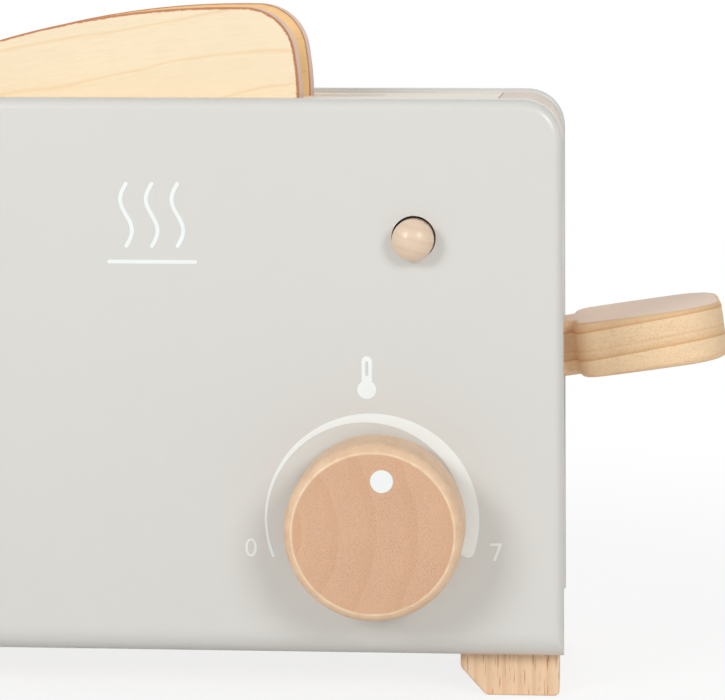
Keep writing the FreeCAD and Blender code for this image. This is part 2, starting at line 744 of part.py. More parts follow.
def button_spring():
    """The return spring between the collar and the guide's back wall, as tilted half turns."""
    wire_r = spring_wire_diameter / 2
    coil_r = spring_coil_diameter / 2
    start = collar_back + wire_r + spring_end_gap
    end = guide_chamber_end - wire_r - spring_end_gap
    rise = (end - start) / spring_turns / 2
    half_turns = []
    for step in range(2 * spring_turns):
        side = -1 if step % 2 else 1
        height = step * rise
        middle = FreeCAD.Vector(0, side * hypot(coil_r, rise / 2), height + rise / 2)
        half_turns.append(Part.Arc(FreeCAD.Vector(side * coil_r, 0, height), middle,
                                   FreeCAD.Vector(-side * coil_r, 0, height + rise)).toShape())
    section = Part.Wire(Part.makeCircle(wire_r, FreeCAD.Vector(coil_r, 0, 0), Y_AXIS))
    coil = Part.Wire(half_turns).makePipeShell([section], True, True)
    coil.rotate(ORIGIN, X_AXIS, -90)
    coil.translate(FreeCAD.Vector(button_x, start, button_axis_height))
    return coil


# --- All pieces -----------------------------------------------------------------------------

def all_pieces():
    """Node name to shape."""
    pivot_pin, rest_dowel = panel_pin_set(0)
    pieces = {
        "front_panel": front_panel(),
        "back_panel": back_panel(),
        "left_side_board": side_board(-1),
        "right_side_board": side_board(1),
        "top_board": top_board(),
        "bottom_board": bottom_board(),
        "slot_divider": slot_divider(),
        "frame_dowels": Part.makeCompound(frame_dowel_set(0)),
        "panel_dowels": Part.makeCompound(panel_dowel_set(0)),
        "back_screws": Part.makeCompound(back_screw_set(wood_screw)),
        "foot_screws": Part.makeCompound(foot_screw_set(wood_screw)),
        "pivot_pin": pivot_pin,
        "rest_dowel": rest_dowel,
        "lever": lever(),
        "toast_carrier": toast_carrier(),
        "carrier_screws": at_rest(Part.makeCompound(carrier_screw_set(wood_screw))),
        "toast_front": toast_slice(slot_planes[0], pocket_floors[0]),
        "toast_rear": toast_slice(slot_planes[1], pocket_floors[1]),
        "dial_knob": dial_knob(),
        "knob_axle": knob_axle(),
        "knob_washer": knob_washer(),
        "inner_washer": inner_washer(),
        "knob_retainer": knob_retainer(),
        "retainer_pin": retainer_pin_rod(0),
        "push_button": push_button(),
        "button_collar": button_collar(),
        "button_guide": button_guide(),
        "button_spring": button_spring(),
    }
    for name, side_x, side_y in foot_places():
        pieces[name] = foot(side_x, side_y)
    return pieces


def main():
    """Sets the origin under the middle of the whole object's box and writes the pieces."""
    pieces = all_pieces()
    whole = Part.makeCompound(list(pieces.values())).optimalBoundingBox(False, False)
    shift = FreeCAD.Vector(-whole.Center.x, -whole.Center.y, -whole.ZMin)
    os.makedirs("parts", exist_ok=True)
    for name, shape in pieces.items():
        shape.translate(shift)
        shape.exportStep(f"parts/{name}.step")
        print(f"{name}: {len(shape.Solids)} solid(s), {shape.Volume:.1f} mm3, valid {shape.isValid()}")
    print(f"box {whole.XLength:.2f} x {whole.YLength:.2f} x {whole.ZLength:.2f}")
    print(f"case middle at {shift.x:.4f}, {shift.y:.4f}, {shift.z:.4f}")
    print(f"pivot at {pivot_x + shift.x:.4f}, {shift.y:.4f}, {pivot_height + shift.z:.4f}")
    print(f"knob axis at {knob_x + shift.x:.4f}, {knob_height + shift.z:.4f}")


main()
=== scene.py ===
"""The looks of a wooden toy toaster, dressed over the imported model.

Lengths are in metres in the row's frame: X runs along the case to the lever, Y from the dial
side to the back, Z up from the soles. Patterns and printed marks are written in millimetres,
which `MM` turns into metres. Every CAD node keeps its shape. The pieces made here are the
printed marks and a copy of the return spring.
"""
import json
from math import asin, cos, pi, radians, sin, sqrt

import bpy
from mathutils import Euler, Matrix, Vector


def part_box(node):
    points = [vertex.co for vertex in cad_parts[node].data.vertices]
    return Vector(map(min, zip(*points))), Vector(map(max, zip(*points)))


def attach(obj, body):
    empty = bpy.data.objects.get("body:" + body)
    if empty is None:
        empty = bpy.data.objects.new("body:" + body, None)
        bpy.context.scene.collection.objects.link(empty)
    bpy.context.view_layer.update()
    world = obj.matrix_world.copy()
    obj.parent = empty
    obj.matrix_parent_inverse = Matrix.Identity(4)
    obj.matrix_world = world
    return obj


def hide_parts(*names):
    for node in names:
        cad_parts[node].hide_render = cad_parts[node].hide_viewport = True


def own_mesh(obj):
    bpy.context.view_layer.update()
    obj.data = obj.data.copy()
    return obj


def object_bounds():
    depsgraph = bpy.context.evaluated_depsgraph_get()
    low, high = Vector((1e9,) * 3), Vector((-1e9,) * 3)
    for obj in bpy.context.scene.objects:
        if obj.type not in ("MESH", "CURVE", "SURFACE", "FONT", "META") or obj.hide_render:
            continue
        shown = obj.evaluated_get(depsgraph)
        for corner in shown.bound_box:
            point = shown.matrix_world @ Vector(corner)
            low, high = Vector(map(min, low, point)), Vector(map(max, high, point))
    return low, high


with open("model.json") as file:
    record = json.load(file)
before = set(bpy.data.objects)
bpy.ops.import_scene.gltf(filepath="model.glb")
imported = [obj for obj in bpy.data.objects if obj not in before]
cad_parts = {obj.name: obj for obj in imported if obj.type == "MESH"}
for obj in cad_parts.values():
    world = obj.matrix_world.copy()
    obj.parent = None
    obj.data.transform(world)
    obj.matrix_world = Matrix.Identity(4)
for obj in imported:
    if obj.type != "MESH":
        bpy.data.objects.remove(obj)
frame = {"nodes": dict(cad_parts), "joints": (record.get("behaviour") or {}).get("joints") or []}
cad_low, cad_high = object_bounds()

MM = 0.001
X_AXIS = Vector((1, 0, 0))
Y_AXIS = Vector((0, 1, 0))
Z_AXIS = Vector((0, 0, 1))

# --- Places read from the frame ---------------------------------------------------------------

panel_low, panel_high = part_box("front_panel")
knob_low, knob_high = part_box("dial_knob")
top_board_low, top_board_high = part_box("top_board")
case_middle_x = (panel_low.x + panel_high.x) / 2
panel_face_y = panel_low.y
knob_x = (knob_low.x + knob_high.x) / 2
knob_z = (knob_low.z + knob_high.z) / 2
knob_face_y = knob_low.y
joints = {joint["name"]: joint for joint in frame["joints"]}
lever_pivot = Vector(joints["lever_rock"]["pos_m"])
toast_up = Vector(joints["toast_front_lift"]["axis"])       # a slice's own up, at rest
toast_along = Y_AXIS.cross(toast_up)                        # a slice's own right, at rest
lever_along = toast_along                                   # the lever lies square to the slices


# --- Colours ----------------------------------------------------------------------------------

def tone(red, green, blue):
    """A colour written as 0 to 255 sRGB, as the linear RGBA that shaders take."""
    channels = []
    for value in (red, green, blue):
        share = value / 255
        low = share / 12.92
        high = ((share + 0.055) / 1.055) ** 2.4
        channels.append(low if share <= 0.04045 else high)
    return (*channels, 1.0)


# --- Node building ----------------------------------------------------------------------------

class Tree:
    """A material's or a world's node tree, emptied, with short ways to fill it."""

    def __init__(self, owner):
        owner.use_nodes = True
        self.tree = owner.node_tree
        self.tree.nodes.clear()

    def put(self, socket, value):
        """Links a node's output, or writes a constant, into an input socket."""
        if isinstance(value, bpy.types.NodeSocket):
            self.tree.links.new(value, socket)
        else:
            socket.default_value = value

    def node(self, kind, inputs=(), **settings):
        """A new node, with its settings and its numbered or named inputs."""
        made = self.tree.nodes.new(kind)
        for key, value in settings.items():
            setattr(made, key, value)
        for key, value in dict(inputs).items():
            self.put(made.inputs[key], value)
        return made

    def calc(self, operation, a, b=0.0, c=0.0):
        """A Math node's value."""
        return self.node("ShaderNodeMath", {0: a, 1: b, 2: c}, operation=operation).outputs[0]

    def plus(self, a, b):
        """The sum of two values."""
        return self.calc("ADD", a, b)

    def minus(self, a, b):
        """The difference of two values."""
        return self.calc("SUBTRACT", a, b)

    def times(self, a, b):
        """The product of two values."""
        return self.calc("MULTIPLY", a, b)

    def line(self, value, slope, start):
        """A value times a slope, plus a start."""
        return self.calc("MULTIPLY_ADD", value, slope, start)

    def swing(self, value, middle, spread):
        """A 0..1 noise value turned into middle plus or minus half the spread."""
        return self.line(value, spread, middle - spread / 2)

    def reach(self, a, b):
        """The length of a step that goes `a` one way and `b` square to it."""
        return self.calc("SQRT", self.plus(self.times(a, a), self.times(b, b)))

    def clamped(self, value, low, high):
        """A value mapped from low..high to 0..1 and kept there."""
        return self.node("ShaderNodeMapRange", {0: value, 1: low, 2: high}, clamp=True).outputs[0]

    def eased(self, value, low, high):
        """As clamped, with soft ends."""
        return self.node("ShaderNodeMapRange", {0: value, 1: low, 2: high},
                         clamp=True, interpolation_type="SMOOTHSTEP").outputs[0]

    def vector(self, operation, a, b=(0, 0, 0)):
        """A Vector Math node."""
        return self.node("ShaderNodeVectorMath", {0: a, 1: b}, operation=operation)


class Surface(Tree):
    """One material: a Principled shader and the nodes that feed it."""

    def __init__(self, name, **constants):
        self.material = bpy.data.materials.new(name)
        super().__init__(self.material)
        self.shader = self.node("ShaderNodeBsdfPrincipled")
        self.node("ShaderNodeOutputMaterial", {"Surface": self.shader.outputs["BSDF"]})
        for socket, value in constants.items():
            self.shader.inputs[socket.replace("_", " ")].default_value = value

    def blend(self, share, first, second):
        """Two colours mixed."""
        made = self.node("ShaderNodeMix", data_type="RGBA", blend_type="MIX")
        for index, value in ((0, share), (6, first), (7, second)):
            self.put(made.inputs[index], value)
        return made.outputs[2]

    def shaded(self, colour, factor):
        """A colour made lighter or darker by a factor."""
        return self.node("ShaderNodeHueSaturation", {"Value": factor, "Color": colour}).outputs[0]

    def ramp(self, value, stops):
        """A ColorRamp of grey levels, used as a curve."""
        made = self.node("ShaderNodeValToRGB", {"Fac": value})
        made.color_ramp.interpolation = "EASE"
        elements = made.color_ramp.elements
        while len(elements) < len(stops):
            elements.new(0.5)
        for element, (position, level) in zip(elements, stops):
            element.position = position
            element.color = (level, level, level, 1)
        return made.outputs[0]

    def millimetres(self):
        """Object coordinates in millimetres."""
        place = self.node("ShaderNodeTexCoord").outputs["Object"]
        return self.vector("MULTIPLY", place, (1 / MM,) * 3).outputs[0]

    def axes(self, place):
        """The X, Y and Z parts of a place."""
        return self.node("ShaderNodeSeparateXYZ", {0: place}).outputs

    def facing(self, axis):
        """How squarely the surface faces an axis, either way: 0 edge on, 1 square on."""
        normal = self.node("ShaderNodeTexCoord").outputs["Normal"]
        return self.calc("ABSOLUTE", self.vector("DOT_PRODUCT", normal, axis).outputs["Value"])

    def board(self, along, across, origin=Vector((0, 0, 0))):
        """Millimetres along the grain, across the board and through it, from an origin."""
        place = self.vector("SUBTRACT", self.millimetres(), origin / MM).outputs[0]
        parts = [self.vector("DOT_PRODUCT", place, axis).outputs["Value"]
                 for axis in (along, across, along.cross(across))]
        return self.node("ShaderNodeCombineXYZ", dict(enumerate(parts))).outputs[0]

    def noise(self, place, lengths, detail=2.0, roughness=0.5, seed=0.0):
        """Noise whose features are so many millimetres long, on all axes or on each."""
        if not isinstance(lengths, tuple):
            lengths = (lengths,) * 3
        scaled = self.vector("DIVIDE", place, lengths).outputs[0]
        moved_on = self.vector("ADD", scaled, (seed, seed * 1.7, -seed)).outputs[0]
        return self.node("ShaderNodeTexNoise", {"Vector": moved_on, "Scale": 1.0, "Detail": detail,
                                                "Roughness": roughness}).outputs[0]

    def relief(self, height, depth):
        """A bump of so many millimetres, given to the shader."""
        bump = self.node("ShaderNodeBump", {"Height": height, "Strength": 1.0,
                                            "Distance": depth * MM})
        self.put(self.shader.inputs["Normal"], bump.outputs[0])

    def finish(self, colour, roughness):
        """Gives the shader its colour and roughness, and returns the material."""
        self.put(self.shader.inputs["Base Color"], colour)
        self.put(self.shader.inputs["Roughness"], roughness)
        return self.material


# --- Wood in general --------------------------------------------------------------------------

# How dark a year ring is across its width: pairs of a place in the ring and a darkness, 0 to 1.
PLAIN_RING = ((0.0, 0.05), (0.45, 0.12), (0.84, 1.0), (0.93, 0.85), (1.0, 0.05))
HAIR_RING = ((0.0, 0.0), (0.85, 0.03), (0.94, 1.0), (0.965, 0.5), (1.0, 0.0))
SOFT_RING = ((0.0, 0.0), (0.6, 0.3), (0.9, 0.85), (0.95, 1.0), (1.0, 0.0))
PINE_RING = ((0.0, 0.0), (0.52, 0.12), (0.64, 0.42), (0.69, 0.2), (0.84, 0.45), (0.97, 1.0),
             (1.0, 0.0))


def wood(name, along, across, early, late, origin=Vector((0, 0, 0)), pith=(40.0, -60.0),
         ring_gap=6.0, wander=2.0, ring_share=0.6, ring_curve=PLAIN_RING,
         fibre=0.08, fibre_width=0.22, blotch=0.05,
         pores=0.0, pore_size=(2.4, 0.16), pore_tone=tone(150, 96, 66), pore_limit=0.66,
         roughness=0.55, shine=0.2, coat=0.0, relief=0.05, seed=0.0, extra=None):
    """Sanded wood as one solid pattern: year rings about a pith, fibres along the grain, pores.

    `early` and `late` are the ring's two colours, and `along` and `across` the board's axes.
    `pith` is where the tree's middle lies, across and through the board from the origin.
    `extra` may change the colour last; it takes the surface, the place in the board and the
    colour. Sizes are in millimetres. Noise lengths are along the grain, across and through.
    """
    surface = Surface(name, Specular_IOR_Level=shine, Coat_Weight=coat, Coat_Roughness=0.25)
    place = surface.board(along, across, origin)

    # Year rings: the distance from the pith, bent by noise, in a saw that darkens and breaks.
    slow_bend = surface.noise(place, (70.0, 16.0, 16.0), detail=2.0, seed=seed)
    quick_bend = surface.noise(place, (24.0, 3.0, 3.0), detail=3.0, seed=seed + 5)
    flat = surface.vector("MULTIPLY", place, (0, 1, 1)).outputs[0]
    from_pith = surface.vector("SUBTRACT", flat, (0, *pith)).outputs[0]
    distance = surface.vector("LENGTH", from_pith).outputs["Value"]
    bent = surface.line(slow_bend, wander * 2, distance)
    bent = surface.line(quick_bend, wander * 0.3, bent)
    phase = surface.calc("FRACT", surface.calc("DIVIDE", bent, ring_gap))
    ring = surface.ramp(phase, ring_curve)

    # Fibres: two sizes of streaks that run with the grain, and broad clouds of tone.
    long_width = fibre_width * 3
    long_fibre = surface.noise(place, (16.0, long_width, long_width), detail=3.0, seed=seed + 11)
    short_fibre = surface.noise(place, (5.0, fibre_width, fibre_width), detail=2.0, seed=seed + 17)
    cloud = surface.noise(place, (34.0, 11.0, 11.0), detail=2.0, seed=seed + 23)

    colour = surface.blend(surface.times(ring, ring_share), early, late)
    shade = surface.swing(long_fibre, 1.0, fibre)
    shade = surface.times(shade, surface.swing(short_fibre, 1.0, fibre))
    shade = surface.times(shade, surface.swing(cloud, 1.0, blotch * 2))
    colour = surface.shaded(colour, shade)

    # Relief, in shares of its depth: fibres and late wood stand up, and pores are sunk.
    fibre_height, ring_height, pore_height, pore_slope = 0.5, 0.25, -0.8, 0.07
    height = surface.line(short_fibre, fibre_height, surface.times(ring, ring_height))
    if pores:
        length, width = pore_size
        dots = surface.noise(place, (length, width, width), detail=1.0, seed=seed + 31)
        pore = surface.clamped(dots, pore_limit, pore_limit + pore_slope)
        colour = surface.blend(surface.times(pore, pores), colour, pore_tone)
        height = surface.line(pore, pore_height, height)
    if extra:
        colour = extra(surface, place, colour)
    surface.relief(height, relief)
    return surface.finish(colour, surface.swing(long_fibre, roughness, 0.12))


# --- Paint, ink, metal and felt ---------------------------------------------------------------

def grey_paint():
    """Sprayed satin paint: warm light grey, faint orange peel, a rare speck."""
    surface = Surface("grey_paint", Specular_IOR_Level=0.5)
    place = surface.millimetres()
    speck_gap = 23.0                               # millimetres
    speck_core, speck_edge = 0.004, 0.011          # radii, in shares of the gap
    speck_height = 1.5                             # in shares of the relief's depth
    cloud = surface.noise(place, 45.0)
    peel = surface.noise(place, 1.3, seed=3)
    grit = surface.noise(place, 0.22, detail=1.0, seed=7)
    cells = surface.vector("DIVIDE", place, (speck_gap,) * 3).outputs[0]
    specks = surface.node("ShaderNodeTexVoronoi", {"Vector": cells, "Scale": 1.0})
    away = surface.clamped(specks.outputs["Distance"], speck_core, speck_edge)
    speck = surface.minus(1.0, away)
    shade = surface.times(surface.swing(cloud, 1.0, 0.02), surface.swing(grit, 1.0, 0.012))
    colour = surface.shaded(tone(217, 216, 211), shade)
    colour = surface.blend(surface.times(speck, 0.5), colour, tone(160, 152, 144))
    surface.relief(surface.line(speck, speck_height, peel), 0.003)
    return surface.finish(colour, surface.swing(peel, 0.27, 0.01))


def white_ink():
    """Screen print: near white, a little rough, thinner in tiny spots."""
    surface = Surface("white_ink")
    place = surface.millimetres()
    grain = surface.noise(place, 0.3)
    cloud = surface.noise(place, 6.0, seed=4)
    shade = surface.times(surface.swing(grain, 1.0, 0.02), surface.swing(cloud, 1.0, 0.02))
    surface.relief(grain, 0.006)
    return surface.finish(surface.shaded(tone(240, 244, 242), shade),
                          surface.swing(grain, 0.45, 0.1))


def bare_metal(name, colour, roughness):
    """Plated or bright steel."""
    surface = Surface(name, Metallic=1.0)
    grain = surface.noise(surface.millimetres(), 0.5)
    surface.relief(grain, 0.01)
    return surface.finish(surface.shaded(colour, surface.swing(grain, 1.0, 0.1)),
                          surface.swing(grain, roughness, 0.12))


def felt():
    """Pressed wool."""
    surface = Surface("felt", Sheen_Weight=0.4)
    place = surface.millimetres()
    fuzz = surface.noise(place, 0.15, detail=3.0, roughness=0.7)
    clump = surface.noise(place, 1.2, seed=5)
    shade = surface.times(surface.swing(fuzz, 1.0, 0.3), surface.swing(clump, 1.0, 0.15))
    surface.relief(fuzz, 0.08)
    return surface.finish(surface.shaded(tone(176, 170, 162), shade),
                          surface.swing(fuzz, 0.92, 0.08))


# --- The toast slices' wood -------------------------------------------------------------------

# A slice's outline, in millimetres about the middle of its foot edge.
SLICE_HEIGHT = 80.0
CROWN_RADIUS = 185.0          # of the arched top
LOBE_RADIUS = 11.5            # of the upper corners
LOBE_HALF = 40.4              # half the width at the lobes
NECK_HALF = 37.4              # half the width at the neck
NECK_TOP = 36.2               # the sides start to widen at this height
LOBE_BOTTOM = 63.7            # and have their full width from this height


def slice_origin(node):
    """The middle of a slice's foot edge, halfway through its thickness."""
    places = [vertex.co for vertex in frame["nodes"][node].data.vertices]
    along = [place.dot(toast_along) for place in places]
    up = [place.dot(toast_up) for place in places]
    across = [place.y for place in places]
    middle = (min(along) + max(along)) / 2
    return toast_along * middle + toast_up * min(up) + Y_AXIS * (min(across) + max(across)) / 2


def slice_gap(surface, along, up):
    """How far a point of a slice's face lies inside the outline, in millimetres."""
    crown_centre = SLICE_HEIGHT - CROWN_RADIUS
    lobe_out = LOBE_HALF - LOBE_RADIUS
    lobe_up = crown_centre + sqrt((CROWN_RADIUS - LOBE_RADIUS) ** 2 - lobe_out ** 2)
    crown_lean = lobe_out / (lobe_up - crown_centre)

    aside = surface.calc("ABSOLUTE", along)
    half = surface.line(surface.eased(up, NECK_TOP, LOBE_BOTTOM), LOBE_HALF - NECK_HALF, NECK_HALF)
    side_gap = surface.minus(half, aside)
    crown_gap = surface.minus(CROWN_RADIUS, surface.reach(along, surface.minus(up, crown_centre)))
    flat_gap = surface.calc("MINIMUM", side_gap, crown_gap)

    # Between the side and the crown, the outline is an arc about the lobe's centre.
    out = surface.minus(aside, lobe_out)
    over = surface.minus(up, lobe_up)
    past_crown = surface.calc("GREATER_THAN", surface.line(over, -crown_lean, out), 0.0)
    in_corner = surface.times(past_crown, surface.calc("GREATER_THAN", over, 0.0))
    corner_gap = surface.minus(LOBE_RADIUS, surface.reach(out, over))
    return surface.line(in_corner, surface.minus(corner_gap, flat_gap), flat_gap)


def crust(bleeding):
    """The `extra` of a slice: a painted rim that bleeds brown onto the faces. The rim's edge is pale
    pink, partly its paint and partly a painted reflection of the bright room at grazing angles.

    `bleeding` is how many millimetres it bleeds at most beyond the least that it does.
    """
    least_bleeding, soft_edge = 0.05, 0.12
    rim_below, face_above = 0.35, 0.6              # by how squarely a point faces Y

    def paint(surface, place, colour):
        parts = surface.axes(place)
        gap = slice_gap(surface, parts[0], parts[2])
        ragged = surface.noise(place, (1.6, 1.0, 0.5), detail=3.0, roughness=0.7, seed=2)
        beyond = surface.minus(gap, surface.line(ragged, bleeding, least_bleeding))
        on_face = surface.minus(1.0, surface.clamped(beyond, 0.0, soft_edge))
        facing = surface.facing(Y_AXIS)
        on_rim = surface.minus(1.0, surface.clamped(facing, rim_below, face_above))
        streak = surface.noise(place, (2.0, 2.0, 0.6), detail=2.0, seed=8)
        wet = surface.shaded(tone(204, 140, 100), surface.swing(streak, 1.0, 0.16))
        # the rim edge's pale pink: the crust paint lightened by a painted reflection
        crust_paint_and_reflection = surface.shaded(tone(232, 200, 184), surface.swing(streak, 1.0, 0.1))
        painted = surface.calc("MAXIMUM", on_face, on_rim)
        return surface.blend(painted, colour, surface.blend(on_rim, wet, crust_paint_and_reflection))

    return paint


def toast_wood(node, early, bleeding, seed):
    """Pale wood with the brown rim."""
    side = node.removeprefix("toast_")
    return wood("toast_wood_" + side, toast_along, Y_AXIS, early, tone(232, 190, 126),
                origin=slice_origin(node), pith=(38.0, -62.0), ring_gap=9.0, wander=6.0,
                ring_share=0.32, ring_curve=HAIR_RING, fibre=0.045, fibre_width=0.24, blotch=0.03,
                pores=0.16, pore_size=(5.0, 0.24), pore_tone=tone(234, 204, 156), pore_limit=0.6,
                roughness=0.5, relief=0.02, seed=seed, extra=crust(bleeding))


# --- The boards' and feet's wood --------------------------------------------------------------

def seam(surface, place, colour):
    """The `extra` of a side board: a dark hairline where it meets the top board."""
    joint_x = (top_board_high.x - case_middle_x) / MM
    widest, soft_edge, strength = 0.8, 0.15, 0.75
    x = surface.axes(surface.millimetres())[0]
    from_middle = surface.calc("ABSOLUTE", surface.minus(x, case_middle_x / MM))
    past_joint = surface.minus(from_middle, joint_x)
    ragged = surface.times(surface.noise(place, (2.0, 2.5, 2.5), seed=40), widest)
    hairline = surface.clamped(surface.minus(ragged, past_joint), 0.0, soft_edge)
    return surface.blend(surface.times(hairline, strength), colour, tone(150, 104, 88))


def side_board_wood():
    """Pale pinkish boards with upright grain."""
    return wood("side_board_wood", Z_AXIS, Y_AXIS, tone(240, 227, 216), tone(228, 207, 191),
                pith=(-30.0, 20.0), ring_gap=3.4, wander=1.4, fibre=0.07, pores=0.3,
                pore_size=(1.8, 0.16), shine=0.1, seed=3, extra=seam)


def top_board_wood():
    """The cream board with the slots."""
    return wood("top_board_wood", X_AXIS, Y_AXIS, tone(254, 248, 238), tone(245, 232, 212),
                pith=(-25.0, 90.0), ring_gap=5.0, wander=3.0, fibre=0.05, shine=0.1, seed=5)


def inner_board_wood():
    """The bottom board and the divider."""
    return wood("inner_board_wood", X_AXIS, Y_AXIS, tone(236, 220, 196), tone(226, 202, 170),
                pith=(20.0, -50.0), ring_gap=5.0, wander=2.5, fibre=0.06, seed=4)


def foot_wood():
    """Open-pored blocks with upright grain."""
    return wood("foot_wood", Z_AXIS, X_AXIS, tone(238, 207, 174), tone(226, 184, 146),
                origin=Vector((cad_high.x, 0, 0)), pith=(30.0, -40.0), ring_gap=3.1, wander=1.6,
                fibre=0.1, pores=0.8, pore_size=(5.5, 0.3), pore_tone=tone(196, 132, 94),
                pore_limit=0.63, seed=6)


def beech(name, along, across, seed, origin=Vector((0, 0, 0))):
    """Plain beech, for dowels and inner pieces."""
    return wood(name, along, across, tone(236, 208, 176), tone(222, 186, 148), origin=origin,
                pores=0.35, seed=seed)


# --- The controls' wood -----------------------------------------------------------------------

LEVER_RING_LEAN = 2.5         # the rings rise this much towards the paddle's tip, in degrees
LEVER_GRAIN_START = 30 * MM   # the pattern's origin lies this far outwards of the pivot


def painted_face_light(surface, place, colour):
    """The `extra` of the lever: its broad faces, which lie along the rings, get a duller, pinker tone
    that is painted shade and painted reflection.
    """
    round_edge, flat_face = 0.93, 0.995            # how squarely each faces up
    figure = surface.noise(place, (22.0, 3.0, 30.0), seed=50)
    # painted shade and reflection: the broad faces' duller, pinker tone stands in for how they catch
    # the light
    face_light_tone = surface.shaded(tone(241, 219, 201), surface.swing(figure, 1.0, 0.06))
    on_face = surface.clamped(surface.facing(toast_up), round_edge, flat_face)
    return surface.blend(on_face, colour, face_light_tone)


def lever_pine():
    """Strongly ringed pine, its rings nearly flat in the board."""
    grain = lever_along.copy()
    grain.rotate(Euler((0, radians(-LEVER_RING_LEAN), 0)))
    return wood("lever_pine", grain, Y_AXIS, tone(244, 215, 177), tone(212, 158, 100),
                origin=lever_pivot + lever_along * LEVER_GRAIN_START, pith=(0.0, 287.9), ring_gap=6.2,
                wander=0.5, ring_share=0.7, ring_curve=PINE_RING, fibre=0.1, fibre_width=0.16,
                pores=0.3, pore_size=(0.45, 0.2), pore_tone=tone(214, 160, 108), pore_limit=0.58,
                shine=0.1, seed=7, extra=painted_face_light)


def knob_rim(surface, place, colour):
    """The `extra` of the knob: its turned rim is lighter than the face, partly worn in patches,
    and a painted highlight runs as a thin bright line where the face meets the rim.
    """
    # noise that makes the lighter rim patchy: partly wear, partly breaks in the painted highlight
    wear_and_highlight = surface.noise(surface.millimetres(), 3.0, detail=3.0, seed=60)
    # stops by how squarely the surface faces Y; the third stop is a painted highlight, a thin bright
    # line at the face's edge
    flank, shoulder, highlight_line, face = (0.0, 0.45), (0.9, 0.5), (0.965, 0.9), (0.996, 0.0)
    edge = surface.ramp(surface.facing(Y_AXIS), (flank, shoulder, highlight_line, face))
    return surface.blend(surface.times(edge, surface.swing(wear_and_highlight, 0.8, 1.3)), colour,
                         tone(250, 226, 192))


def knob_wood():
    """The knob's reddish wood, with the grain running into the face."""
    return wood("knob_wood", Y_AXIS, X_AXIS, tone(219, 178, 146), tone(207, 158, 121),
                origin=Vector((knob_x, 0, knob_z)), pith=(-30.0, 0.0), ring_gap=8.3, wander=1.6,
                ring_share=0.3, ring_curve=SOFT_RING, fibre=0.1, fibre_width=0.2, pores=0.4,
                pore_size=(3.0, 0.26), pore_tone=tone(200, 142, 108), pore_limit=0.6,
                roughness=0.5, coat=0.1, seed=9, extra=knob_rim)


def button_wood():
    """The button's fine, lacquered dowel."""
    return wood("button_wood", Y_AXIS, X_AXIS, tone(232, 207, 182), tone(220, 188, 158),
                pith=(9.0, 14.0), ring_gap=2.4, wander=0.6, ring_share=0.35, fibre=0.05,
                fibre_width=0.12, pores=0.2, pore_size=(1.6, 0.1), roughness=0.36, coat=0.7,
                seed=10)


# --- Dressing the nodes -----------------------------------------------------------------------

def all_materials():
    """Node name to material."""
    nodes_of = (
        (grey_paint(), ("front_panel", "back_panel")),
        (side_board_wood(), ("left_side_board", "right_side_board")),
        (top_board_wood(), ("top_board",)),
        (inner_board_wood(), ("bottom_board", "slot_divider")),
        (foot_wood(), ("foot_front_left", "foot_front_right", "foot_rear_left",
                       "foot_rear_right")),
        (beech("beech_dowel_x", X_AXIS, Y_AXIS, 1), ("frame_dowels",)),
        (beech("beech_dowel_y", Y_AXIS, X_AXIS, 2),
         ("panel_dowels", "rest_dowel", "knob_axle", "knob_retainer", "button_collar",
          "button_guide")),
        (beech("carrier_wood", lever_along, Y_AXIS, 8, origin=lever_pivot), ("toast_carrier",)),
        (bare_metal("zinc_plate", tone(205, 206, 204), 0.34),
         ("back_screws", "foot_screws", "carrier_screws", "pivot_pin", "retainer_pin")),
        (bare_metal("spring_wire", tone(190, 190, 188), 0.26), ("button_spring",)),
        (lever_pine(), ("lever",)),
        (toast_wood("toast_front", tone(247, 229, 198), 0.8, 12), ("toast_front",)),
        # the rear slice's more golden face is painted light: warm light bounced between the two
        # slices
        (toast_wood("toast_rear", tone(250, 212, 156), 0.3, 13), ("toast_rear",)),
        (knob_wood(), ("dial_knob",)),
        (felt(), ("knob_washer", "inner_washer")),
        (button_wood(), ("push_button",)),
    )
    return {node: material for material, nodes in nodes_of for node in nodes}


def dress(given):
    """Gives each CAD node its material."""
    for name, material in given.items():
        mesh = frame["nodes"][name].data
        mesh.materials.clear()
        mesh.materials.append(material)


def add_piece(name, mesh, material, body):
    """A new visible piece that rides on a body."""
    mesh.name = name
    mesh.materials.clear()
    mesh.materials.append(material)
    piece = bpy.data.objects.new(name, mesh)
    bpy.context.scene.collection.objects.link(piece)
    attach(piece, body)
    return piece


def soft_spring(wire):
    """The return spring again, as a piece of its own that rides on the case."""
    spring = add_piece("return_spring", frame["nodes"]["button_spring"].data.copy(), wire, "case")
    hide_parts("button_spring")
    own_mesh(spring)


# --- Printed marks ----------------------------------------------------------------------------

INK_THICKNESS = 0.06 * MM     # above the surface
INK_OVERLAP = 0.02 * MM       # the ink's back lies this deep in the surface
CAP_POINTS = 9                # on the round end of a stroke


def arc_points(centre, radius, start, end, count):
    """Points on an arc, by angles in degrees."""
    step = (end - start) / (count - 1)
    angles = [radians(start + step * index) for index in range(count)]
    return [(centre[0] + radius * cos(angle), centre[1] + radius * sin(angle)) for angle in angles]


def heading(start, end):
    """The direction from one point to another, in degrees."""
    way = Vector((end[0] - start[0], end[1] - start[1]))
    return Vector((1, 0)).angle_signed(way) * -180 / pi


